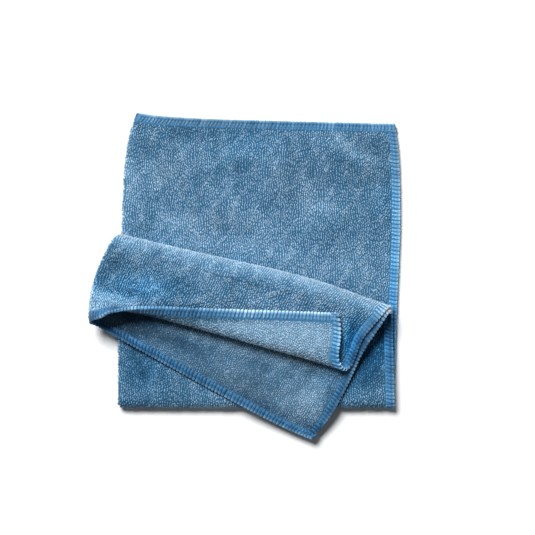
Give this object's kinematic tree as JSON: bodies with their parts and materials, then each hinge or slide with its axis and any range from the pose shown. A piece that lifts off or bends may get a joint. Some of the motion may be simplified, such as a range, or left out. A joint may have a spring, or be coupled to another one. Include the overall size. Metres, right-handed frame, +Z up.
{
  "type": "microfibre cloth",
  "caption": "Square microfibre cloth, folded in half, folded over and back on itself, with its top corner turned up, lying flat.",
  "frame": {"origin": "centre of the folded cloth's box in plan, on the surface that it lies on", "axes": "+Z up from that surface; +Y from the near fold to the far edge, +X from the half fold to the open sides"},
  "size_m": [0.2236, 0.2344, 0.0381],
  "materials": {
    "microfibre": "matt short looped pile, overlocked along its edges"
  },
  "bodies": {
    "root": {"cloth": "microfibre"}
  },
  "joints": []
}
